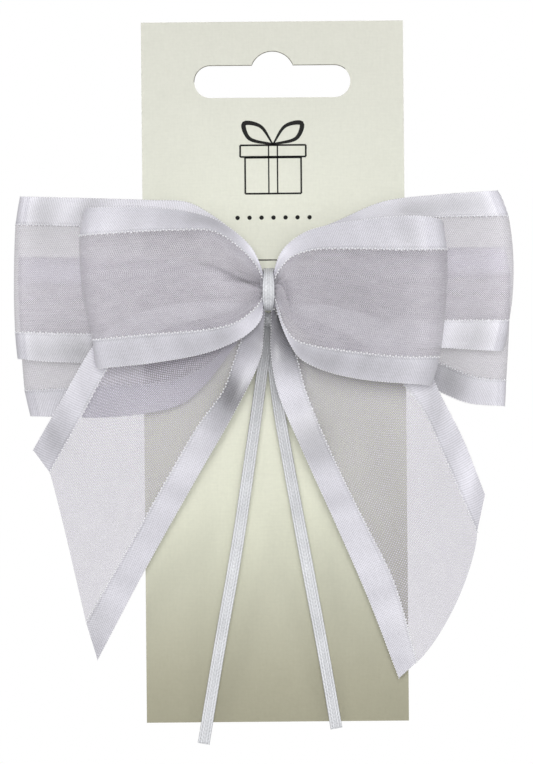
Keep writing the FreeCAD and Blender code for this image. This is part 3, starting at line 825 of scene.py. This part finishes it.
def loop_grid(loop, side):
    """The loop's surface: its front layer from the knot out, round the end, and its back layer home.
    It comes with the painted shade and light on each place, and its painted highlights."""
    out = np.mean([distances(smooth_line(r))[-1] for r in loop["rails"]])
    bend = loop["bend"]
    angles = np.linspace(0, math.pi / 2, TURN_ROWS, endpoint=False)
    straight = np.linspace(bend, out, int((out - bend) / ROW_STEP))
    to_end = np.concatenate([bend * (1 - np.cos(angles)), straight])
    half = np.concatenate([bend * np.sin(angles), np.full(len(straight), bend)])
    length = out - to_end
    flat = across_rails(loop["rails"], 1 - to_end / out, bulging(loop["bulge"], HALF_WIDTH), (side, 0))

    root_depth, end_depth = loop["depths"]
    share = length / out
    taper = np.clip(length / (out - bend), 0, 1)
    middle = -(root_depth + (end_depth - root_depth) * taper)
    slim = ROOT_HALF + (half - ROOT_HALF) * taper
    plump = ROOT_HALF + (half - ROOT_HALF) * np.sin(taper * math.pi / 2) ** PLUMPNESS
    full = slim + (plump - slim) * loop["puff"]
    edge = np.abs(COLUMNS / HALF_WIDTH)
    end_curl = END_CURL * loop["puff"]
    curl = end_curl + (KNOT_CURL - end_curl) * (1 - ease(share / CURL_REACH))
    cup = 1 - curl[:, None] * edge[None, :] ** CURL_POWER
    rows = length[:, None]
    tuck, painted_shade = creases(rows, loop["creases"])
    crinkle = pleats(rows, PLEATS, LOOP_PLEAT_DEPTH) + folds(rows, loop["folds"]) + tuck
    spots = soft_light(rows, loop["spots"])
    painted_shade = painted_shade + LOOP_PAINTED_SHADE * pinch_shade(rows, LOOP_PAINTED_SHADE_FADE) - SPOT_SHADE * spots
    wave = WAVE_HEIGHT * np.sin(rows / WAVE_ALONG + COLUMNS[None] / WAVE_ACROSS)
    wave = wave * ease(share / 0.5)[:, None] * (1 - share[:, None] ** 6)
    front = middle[:, None] - full[:, None] * cup + crinkle + wave * loop["puff"]
    back_crinkle = pleats(rows, PLEATS - 1, BACK_PLEAT_DEPTH, BACK_PLEAT_PHASE)
    back = middle[:, None] + slim[:, None] * cup + back_crinkle

    def layer(depth):
        return np.dstack([flat[:, :, 0], depth, flat[:, :, 1]])

    grid = np.vstack([layer(front)[::-1], layer(back)[1:]])
    light = np.dstack([painted_shade, end_gleams(to_end) + spots])
    return grid, np.vstack([light[::-1], light[1:]])


def make_loops():
    for node, loop in LOOPS.items():
        side = -1 if node.endswith("left") else 1
        grid, light = loop_grid(loop, side)
        ribbon_piece(node, LOOP_ORGANZA, grid, light)


# Each tail's rails, from the knot to its cut end: outer edge, outer seam, inner seam and inner edge.
TAILS = {
    "tail_left": dict(rails=[
        [(-2.6, -63.3), (-16, -62.5), (-32, -65), (-41, -69.8), (-45, -74.4), (-52, -86.6),
         (-59.4, -99.5)],
        [(-2.6, -63.9), (-14, -66), (-27, -69.5), (-36, -74), (-40.8, -79.1), (-46.8, -90.1),
         (-55.3, -105.1)],
        [(-2.4, -64.6), (-6.4, -69.5), (-9.4, -77), (-12, -84.5), (-18.5, -93.6), (-25.5, -105.6),
         (-33.3, -119.4), (-46.4, -142.4)],
        [(-1.8, -65), (-2.1, -70), (-2.8, -76.4), (-9.3, -90), (-17.4, -104.1), (-30.9, -128),
         (-43.5, -151.9)],
    ], bulge=-0.15, skew=-0.7, way=(-0.97, -0.23), depths=(13.2, 5.4), phase=0.4,
        spots=[(5.5, 17, -1.1, 4, 8), (14.5, 17, 0.4, 2.5, 8), (20, 17, -2.6, 4.5, 8),
               (27, 17, -0.8, 6, 7), (56, 17, 0.2, 12, 6), (77, -17, -0.9, 6, 5), (84, 17, -0.7, 8, 7)],
    ),
    "tail_right": dict(rails=[
        [(0.5, -63.4), (14, -63.5), (28, -68), (37, -76), (41.7, -85.5), (47.5, -97), (52.9, -110.6)],
        [(0.5, -64), (10, -67), (21, -72), (28, -77.5), (32.8, -83.4), (38, -90.6), (43, -101.6),
         (51, -120)],
        [(0.6, -64.5), (3.6, -69.5), (6, -76.1), (8.6, -85.6), (15.3, -101.6), (23.5, -118.4),
         (30.3, -132.4), (36.1, -152.3)],
        [(-0.2, -65), (-0.3, -69.5), (-0.3, -75.5), (1.4, -85), (7.2, -98.9), (16.8, -120.1),
         (24.1, -136.9), (31.6, -156.4)],
    ], bulge=2.75, skew=0, way=(0.91, -0.42), depths=(13.9, 6.1), phase=2.2,
        spots=[(4, 12, -3.4, 8, 11), (18, 17, 0.6, 4, 8), (31.5, 15.5, -1.7, 5, 7),
               (58, 17, 0.4, 12, 6), (54, -17, -0.4, 8, 4), (76, -17, 0.8, 8, 4)],
    ),
}
TAIL_FOLDS = [(13, 12, 3, -1.6, 12), (18, 19, 4, 1.8, 24), (4, 0, 4, 0.8, 30)]

# The height where a tail comes out from under the bow, and the fall over which it comes to rest.
# Then how far along it starts to drape, and over what length.
BOW_FOOT, SETTLE = -92.0, 50.0
DRAPE_START, DRAPE_RUN = 30, 40

# The ruffle along a tail's inner edge: its height, pitch, middle, half width and fade. Then the soft
# drape further down: its height, and its pitches across and along.
RUFFLE, RUFFLE_PITCH, RUFFLE_MIDDLE, RUFFLE_HALF, RUFFLE_FADE = 1.7, 4.6, 17, 8, 24
DRAPE, DRAPE_ACROSS, DRAPE_ALONG = 1.2, 6.5, 30
# A tail's pleat depth, its share of the folds, and how much painted shade it gets by the knot and how
# soon that fades.
TAIL_PLEAT_DEPTH, TAIL_FOLD_SHARE, TAIL_PAINTED_SHADE, TAIL_PAINTED_SHADE_FADE = 0.6, 0.6, 0.9, 10.0


def tail_grid(tail):
    """The tail's surface, from its gathered top to its cut end, with its painted shade, light and
    highlights.
    """
    out = np.mean([distances(smooth_line(r))[-1] for r in tail["rails"]])
    fractions = np.linspace(0, 1, int(out / ROW_STEP))
    swell = bulging(tail["bulge"], SEAM, tail["skew"])
    flat = across_rails(tail["rails"], fractions, swell, tail["way"])
    length = (fractions * out)[:, None]
    top, tip = tail["depths"]
    low = ease((BOW_FOOT - flat[:, :, 1]) / SETTLE)
    depth = -(top + (tip - top) * low)
    free = ease((length - DRAPE_START) / DRAPE_RUN)
    inner = np.exp(-(((COLUMNS - RUFFLE_MIDDLE) / RUFFLE_HALF) ** 2))
    ruffle = RUFFLE * np.sin(length / RUFFLE_PITCH + tail["phase"]) * inner
    ruffle = ruffle * ease(length / 8) * np.exp(-length / RUFFLE_FADE)
    drape = DRAPE * np.sin(COLUMNS / DRAPE_ACROSS + length / DRAPE_ALONG) * free
    depth = depth + pleats(length, PLEATS, TAIL_PLEAT_DEPTH) + TAIL_FOLD_SHARE * folds(length, TAIL_FOLDS)
    depth = depth + ruffle + drape
    spots = soft_light(length, tail["spots"])
    painted_shade = TAIL_PAINTED_SHADE * pinch_shade(length, TAIL_PAINTED_SHADE_FADE) - SPOT_SHADE * spots
    return np.dstack([flat[:, :, 0], depth, flat[:, :, 1]]), np.dstack([painted_shade, spots])


def make_tails():
    for node, tail in TAILS.items():
        grid, light = tail_grid(tail)
        ribbon_piece(node, TAIL_ORGANZA, grid, light)


# ------------------------ the narrow tie

# The hanging ends' routes, as (across from the knot, drop below it), and the depth of each one's
# front face by the knot and at its end.
TIE_ROUTES = {
    "tie_tail_left": [(-0.1, 9.4), (-1.6, 21), (-4.4, 41), (-8, 66), (-12.4, 90), (-16.2, 113.6)],
    "tie_tail_right": [(0.3, 9.4), (1.3, 23), (5.2, 45), (10.2, 72), (14, 92), (17, 109.8)],
}
TIE_DEPTHS = {"tie_tail_left": (10.6, 2.8), "tie_tail_right": (9.8, 2.0)}
TIE_TURNS = {"tie_tail_left": (0.9, 0.25), "tie_tail_right": (-0.8, -0.3)}
TIE_WIDTH = 3.0
TIE_ROWS, TIE_COLUMNS = 180, 25

# Half the tie's thickness, how much its middle is crowned and how high its corded lines stand. Then
# how soon its turn by the knot fades, and the pitch of its slow turn further down.
TIE_HALF, TIE_CROWN, TIE_RIDGE = 0.10, 0.10, 0.07
TIE_TURN_FADE, TIE_TURN_PITCH = 11, 19
KNOT_X, KNOT_Z = -0.9, -59.6


def route_line(node):
    """The route's smooth line, read from a NURBS spline, in millimetres."""
    points, (top, foot) = TIE_ROUTES[node], TIE_DEPTHS[node]
    fall = points[-1][1] - points[0][1]
    lean = math.atan2(top - foot, fall)
    data = bpy.data.curves.new(node + "_route", "CURVE")
    data.dimensions = "3D"
    data.resolution_u = 24
    spline = data.splines.new("NURBS")
    spline.points.add(len(points) - 1)
    for point, (across, drop) in zip(spline.points, points):
        down = drop - points[0][1]
        depth = TIE_HALF + TIE_CROWN - top + down * math.sin(lean)
        height = KNOT_Z - points[0][1] - down * math.cos(lean)
        point.co = ((KNOT_X + across) * MM, depth * MM, height * MM, 1.0)
    spline.order_u = 3
    spline.use_endpoint_u = True
    holder = bpy.data.objects.new(node + "_route", data)
    link(holder)
    bpy.context.view_layer.update()
    mesh = bpy.data.meshes.new_from_object(holder)
    line = np.array([v.co for v in mesh.vertices]) / MM
    bpy.data.objects.remove(holder)
    return line


def make_tie_tail(node):
    """A flat woven ribbon with two raised lines along each edge, turned a little on its way down."""
    line = evenly(route_line(node), TIE_ROWS)
    far = distances(line)
    top_turn, foot_turn = TIE_TURNS[node]
    turn = top_turn * np.exp(-far / TIE_TURN_FADE) + foot_turn * np.sin(far / TIE_TURN_PITCH)
    ways = unit(np.gradient(line, axis=0))
    front = np.array([0, -1.0, 0])
    sides = unit(np.cross(ways, front))
    ups = np.cross(sides, ways)
    across_way = sides * np.cos(turn)[:, None] + ups * np.sin(turn)[:, None]
    face_way = -sides * np.sin(turn)[:, None] + ups * np.cos(turn)[:, None]
    across = np.linspace(-TIE_WIDTH / 2, TIE_WIDTH / 2, TIE_COLUMNS)
    is_corded = abs(across) > CORD_PITCH / 2
    ridges = TIE_RIDGE * np.cos(2 * math.pi * abs(across) / CORD_PITCH) * is_corded
    crown = TIE_CROWN * (1 - (across / (TIE_WIDTH / 2)) ** 2)
    face = np.concatenate([TIE_HALF + ridges + crown, (-TIE_HALF + ridges + crown)[::-1]])
    rim = np.concatenate([across, across[::-1]])
    rings = line[:, None] + across_way[:, None] * rim[None, :, None]
    rings = rings + face_way[:, None] * face[None, :, None]
    piece = riding_piece(closed_tube(node + "_ribbon", rings, rim), SHADED_TIE_SATIN)
    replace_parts(piece, node)


def oval(count, half_y, half_z, middle_y):
    """Points round an oval outline in the YZ plane, from its lowest point, with the outward way and
    the angle of each."""
    angle = np.linspace(0, 2 * math.pi, count, endpoint=False)
    y = middle_y - half_y * np.sin(angle)
    z = KNOT_Z - half_z * np.cos(angle)
    out = np.column_stack([np.zeros(count), -np.sin(angle) / half_y, -np.cos(angle) / half_z])
    return np.column_stack([np.zeros(count), y, z]), unit(out), angle


# The folds under the wrap: how far inside their solid they lie, how much they are drawn in at the
# middle, and the number, height and sway of their ridges, with finer ones between.
FOLD_INSET, FOLD_WAIST, FOLD_ROWS, FOLD_POINTS = 0.2, 0.75, 15, 220
RIDGES, RIDGE_HEIGHT, RIDGE_SWAY = 22, 0.32, 0.5
FINE_RIDGES, FINE_HEIGHT = 47, 0.12

# The wrap: how far inside its solid it lies, half its width, the heights of its rim and its crown,
# the depth of its back, and the height of its creases. Then the places round it where it is
# narrower, and its one dent: angle from its lowest point, spread, and amount.
WRAP_INSET, WRAP_HALF, WRAP_POINTS, WRAP_COLUMNS = 0.25, 1.5, 160, 17
WRAP_RIM, WRAP_CROWN, WRAP_BACK = 0.12, 0.16, -0.14
WRAP_CREASE, WRAP_FINE_CREASE = 0.05, 0.04
WRAP_NARROWS = ((2.5, 0.5, 0.30), (0.45, 0.4, 0.35))
WRAP_DENT = (1.0, 0.12, 0.22)
WELD_DISTANCE = 0.00001


def oval_in(low, high, inset, count):
    """The oval that fills a box seen from the side, inset from its faces."""
    middle_y = (low[1] + high[1]) / 2
    return oval(count, (high[1] - low[1]) / 2 - inset, (high[2] - low[2]) / 2 - inset, middle_y)


def make_gather():
    """The pinched folds on each side of the tie, fanning out to meet the loops."""
    low, high = WAIST_LOW, WAIST_HIGH
    outline, out, angle = oval_in(low, high, FOLD_INSET, FOLD_POINTS)
    ridge = RIDGE_HEIGHT * np.cos(RIDGES * angle + RIDGE_SWAY * np.sin(3 * angle))
    ridge = ridge + FINE_HEIGHT * np.cos(FINE_RIDGES * angle)
    rings = []
    for x in np.linspace(low[0], high[0], FOLD_ROWS):
        off = (x - KNOT_X) / (high[0] - KNOT_X)
        waist = -FOLD_WAIST * (1 - off * off)
        rings.append(outline + out * (waist + ridge)[:, None] + np.array([x, 0, 0]))
    piece = riding_piece(closed_tube("gathered_folds", np.array(rings)), FOLD_SATIN)
    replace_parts(piece, "gathered_centre")


def swell_at(angle, place, spread, amount):
    """A smooth rise round one place on an outline."""
    return amount * np.exp(-((angle - place) / spread) ** 2)


def make_wrap():
    """The tie's turn round the folds: a flat band, drawn in a little over the front, with creases."""
    outline, out, angle = oval_in(*box_of("tie_wrap"), WRAP_INSET, WRAP_POINTS)
    across = np.linspace(-1, 1, WRAP_COLUMNS)
    profile = np.concatenate([across, across[::-1]])
    lift = np.concatenate([WRAP_RIM + WRAP_CROWN * (1 - across ** 2), np.full(WRAP_COLUMNS, WRAP_BACK)])
    creased = WRAP_CREASE * np.cos(across * 9) + WRAP_FINE_CREASE * np.cos(across * 21 + 1)
    crease = np.concatenate([creased, np.zeros(WRAP_COLUMNS)])
    width = WRAP_HALF
    for narrow in WRAP_NARROWS:
        width = width - swell_at(angle, *narrow)
    dent = -swell_at(angle, *WRAP_DENT)
    rings = outline[:, None] + out[:, None] * (lift + crease + dent[:, None])[:, :, None]
    rings[:, :, 0] += KNOT_X + width[:, None] * profile[None]
    rings = np.concatenate([rings, rings[:1]])
    closed = np.concatenate([rings, rings[:, :1]], axis=1)
    places = np.append(profile, profile[0]) * TIE_WIDTH / 2
    round_it = distances(closed[:, 0])[:, None]
    uv = np.stack(np.broadcast_arrays(round_it, places[None]), axis=2)
    mesh = grid_mesh("tie_turn", closed, {WEAVE_MAP: uv})
    weld(mesh)
    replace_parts(riding_piece(mesh, TIE_SATIN), "tie_wrap")


def weld(mesh):
    """Joins the points that coincide where a surface closes on itself."""
    shape = bmesh.new()
    shape.from_mesh(mesh)
    bmesh.ops.remove_doubles(shape, verts=shape.verts, dist=WELD_DISTANCE)
    shape.to_mesh(mesh)
    shape.free()


# The knot hangs this much lower than the middle of its solid, so that it meets the tie's ends. Its
# turns cross at these tilts, and reach a little past the solid sideways and in height.
KNOT_SAG = 0.75
KNOT_TILTS = (0.5, -0.55)
KNOT_LONG, KNOT_TALL, KNOT_CREASE = 1.05, 1.2, 0.06
KNOT_ROWS, KNOT_POINTS, KNOT_END = 15, 64, 0.96


def make_knot():
    """The tie's small knot: two crossed turns of the narrow ribbon under the wrap."""
    low, high = box_of("tie_knot")
    centre, half = (low + high) / 2 + np.array([0, 0, -KNOT_SAG]), (high - low) / 2
    turns = np.linspace(0, 2 * math.pi, KNOT_POINTS, endpoint=False)
    pieces = []
    for number, tilt in enumerate(KNOT_TILTS):
        way = np.array([math.cos(tilt), 0, math.sin(tilt)])
        rings = []
        for share in np.linspace(-KNOT_END, KNOT_END, KNOT_ROWS):
            radius = math.sqrt(1 - share * share)
            y = half[1] * radius * np.cos(turns)
            z = half[2] * KNOT_TALL * radius * np.sin(turns)
            crease = 1 + KNOT_CREASE * np.cos(turns * 7 + share * 4)
            ring = np.column_stack([np.zeros(KNOT_POINTS), y, z]) * crease[:, None]
            rings.append(centre + ring + way * half[0] * KNOT_LONG * share)
        mesh = closed_tube(f"tie_knot_turn_{number}", np.array(rings))
        pieces.append(riding_piece(mesh, SHADED_TIE_SATIN))
    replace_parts(pieces[0], "tie_knot")


# ------------------------ the twist tie

def round_tube(name, line, radius_y, radius_x, around):
    """A tube of oval section along a line in millimetres."""
    ways = unit(np.gradient(line, axis=0))
    nearly_up = np.array([0, 0.01, 1.0])
    side = unit(np.cross(ways, nearly_up))
    up = np.cross(side, ways)
    angle = np.linspace(0, 2 * math.pi, around, endpoint=False)
    a, b = np.cos(angle) * radius_x, np.sin(angle) * radius_y
    rings = line[:, None] + side[:, None] * a[None, :, None] + up[:, None] * b[None, :, None]
    return closed_tube(name, rings)


# Half the strip's width and thickness, and the twist behind the card: its turns, its radius and
# half the thickness of a strand.
STRIP_HALF = (0.85, 0.26)
TWISTS, TWIST_RADIUS, STRAND_HALF = 5.5, 0.42, 0.36


def make_twist_tie():
    """A flat papered wire round the back of the folds and through the card, twisted behind it."""
    low, _ = box_of("twist_tie")
    leg, thick = 2.6, 0.3
    front, behind = low[1] + thick, 0.6
    corners = [
        (leg - 0.8, front, 0), (leg, front + 1.2, 0), (leg, -0.9, 0), (leg, behind - 0.1, 0),
        (1.1, behind + 0.1, -0.7), (0.45, behind + 0.35, -2.2),
    ]
    corners = [(-x, y, z) for x, y, z in corners[::-1]] + corners
    line = smooth_line(np.array(corners) + (KNOT_X, 0, KNOT_Z), 120)
    meshes = [round_tube("twist_tie_strip", line, *STRIP_HALF, 14)]
    drop = np.linspace(0, 1, 90)
    turns = drop * 2 * math.pi * TWISTS
    foot, head = low[2] + 0.4, KNOT_Z - 1.9
    for number, phase in enumerate((0, math.pi)):
        strand = np.column_stack([
            KNOT_X + TWIST_RADIUS * np.cos(turns + phase),
            behind + 0.65 + TWIST_RADIUS * np.sin(turns + phase),
            head + (foot - head) * drop,
        ])
        meshes.append(round_tube(f"twist_tie_strand_{number}", strand, STRAND_HALF, STRAND_HALF, 10))
    pieces = [riding_piece(mesh, TIE_PAPER, "card") for mesh in meshes]
    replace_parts(pieces[0], "twist_tie")


# ------------------------ the card, its print and its painted slot shadow

# The print and the painted slot shadow lie just in front of the card's face, and turn with the card,
# which hangs a little askew.
FACE_PIECE_DEPTH = 0.62
CARD_TURN = math.radians(-0.5)
STROKE_POINTS = 40


def face_piece(name, outlines, material):
    """Flat pieces on the card's front face, for its print and its painted shadow, from closed outlines
    drawn on the upright card.
    """
    cos, sin = math.cos(CARD_TURN), math.sin(CARD_TURN)
    points, faces = [], []
    for outline in outlines:
        base = len(points)
        turned = [(x * cos + z * sin, z * cos - x * sin) for x, z in outline]
        points += [(x * MM, -FACE_PIECE_DEPTH * MM, z * MM) for x, z in turned]
        faces.append(tuple(range(base, base + len(outline))))
    mesh = bpy.data.meshes.new(name)
    mesh.from_pydata(points, [], faces)
    riding_piece(mesh, material, "card")


def leftwards(line):
    """The way to the left of a flat line, at each of its points."""
    ways = unit(np.gradient(line, axis=0))
    return np.column_stack([-ways[:, 1], ways[:, 0]])


def quads_between(a, b):
    """The quads between two lines of as many points."""
    return [[tuple(a[i]), tuple(a[i + 1]), tuple(b[i + 1]), tuple(b[i])] for i in range(len(a) - 1)]


def stroke(points, widths):
    """A pen stroke as quads along a smooth line, swelling between its widths."""
    line = smooth_line(points, STROKE_POINTS)
    shares = np.linspace(0, 1, STROKE_POINTS)
    half = np.interp(shares, np.linspace(0, 1, len(widths)), widths)[:, None] / 2
    side = leftwards(line)
    return quads_between(line + side * half, line - side * half)


def make_print():
    """A plain rule, and a small drawn gift box with a row of dots in place of any lettering."""
    rule = [(-13.0, -51.95), (13.0, -51.95), (13.0, -52.25), (-13.0, -52.25)]
    face_piece("printed_rule", [rule], INK)
    quads = []
    box = [(-7, -35.5), (-7, -26.5), (7, -26.5), (7, -35.5), (-7, -35.5)]
    lid = [(-8.2, -26.3), (-8.2, -23.4), (8.2, -23.4), (8.2, -26.3), (-8.2, -26.3)]
    for shape in (box, lid):
        for a, b in zip(shape, shape[1:]):
            middle = ((a[0] + b[0]) / 2, (a[1] + b[1]) / 2)
            quads += stroke([a, middle, b], (0.45, 0.45))
    for s in (-1, 1):
        leaf = [(0, -23.2), (s * 3.2, -18.6), (s * 7.2, -18.0), (s * 6.0, -21.6), (0, -23.2)]
        quads += stroke(leaf, (0.4, 1.2, 0.5))
        quads += stroke([(s * 1.1, -23.4), (s * 1.1, -29.0), (s * 1.1, -35.5)], (0.35, 0.35))
    round_it = np.linspace(0, 2 * math.pi, 20)[:-1]
    dot, dot_pitch, dot_height = 0.55, 3.0, -41.5
    for k in range(-3, 4):
        middle = k * dot_pitch
        quads.append([(middle + dot * math.cos(t), dot_height + dot * math.sin(t)) for t in round_it])
    face_piece("printed_gift_box", quads, INK)


def make_slot_shadow():
    """A thin line of painted shadow along the hang slot's upper edge."""
    end_x, end_z, end_radius = 15.5, -7.5, 4.0
    bump_z, bump_radius = -5.5, 5.5
    meet = math.asin((end_z + end_radius - bump_z) / bump_radius)
    turns = np.linspace(math.pi, math.pi / 2, 16)
    left = [(-end_x + end_radius * math.cos(t), end_z + end_radius * math.sin(t)) for t in turns]
    arch = np.linspace(math.pi - meet, meet, 24)
    over = [(bump_radius * math.cos(t), bump_z + bump_radius * math.sin(t)) for t in arch]
    right = [(-x, z) for x, z in left[::-1]]
    line = np.array(left + over + right[:8])
    line_width = 0.16
    face_piece("slot_shadow_line", quads_between(line + line_width * leftwards(line), line), SLOT_SHADOW)


def dress_card():
    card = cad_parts["hang_card"]
    card.data.materials.clear()
    card.data.materials.append(pearl_card())


# ------------------------ making it all

# One cloth: the loops' lighter colour is painted light, for the light that passes on through their
# stacked layers.
LOOP_ORGANZA = organza("loop_organza", (0.545, 0.523, 0.568), 0.50, 0.38, 0.52)
TAIL_ORGANZA = organza("tail_organza", (0.415, 0.392, 0.458), 0.55, 0.70, 0.74)
SATIN = satin("ribbon_satin", (0.70, 0.69, 0.75))
FOLD_SATIN = satin("gathered_satin", (0.52, 0.51, 0.55), on_ribbon=False)
TIE_SATIN = tie_satin("tie_satin", shaded=False)
# A copy of the tie satin with painted shade under the bow, for the knot and the hanging ends.
SHADED_TIE_SATIN = tie_satin("tie_satin_painted_shade", shaded=True)
THREAD = white_thread()
INK = flat_colour("dark_ink", (0.014, 0.014, 0.013))
# A dark flat colour for the painted shadow along the hang slot's upper edge.
SLOT_SHADOW = flat_colour("painted_slot_shadow", (0.13, 0.12, 0.09))
TIE_PAPER = tie_paper()

bpy.context.scene.view_settings.view_transform = "Standard"
make_camera()
for tie_tail in TIE_ROUTES:
    make_tie_tail(tie_tail)
make_world(seen=1.0, low=0.10, high=0.33)
area_light("back", (0.4, 2.4, 0.4), 0.9, 9.0)
area_light("key", (-0.02, -2.4, 0.15), 0.6, 21.0)
area_light("fill", (0.3, -2.4, -0.1), 0.9, 4.5)
area_light("left", (-1.4, -0.9, 0.15), 0.5, 4.2)
area_light("right", (1.4, -0.9, 0.1), 0.5, 3.4)
area_light("top", (0.1, -0.5, 1.2), 0.5, 2.4)
make_floor()
dress_card()
make_print()
make_slot_shadow()
make_gather()
make_wrap()
make_knot()
make_twist_tie()
make_loops()
make_tails()
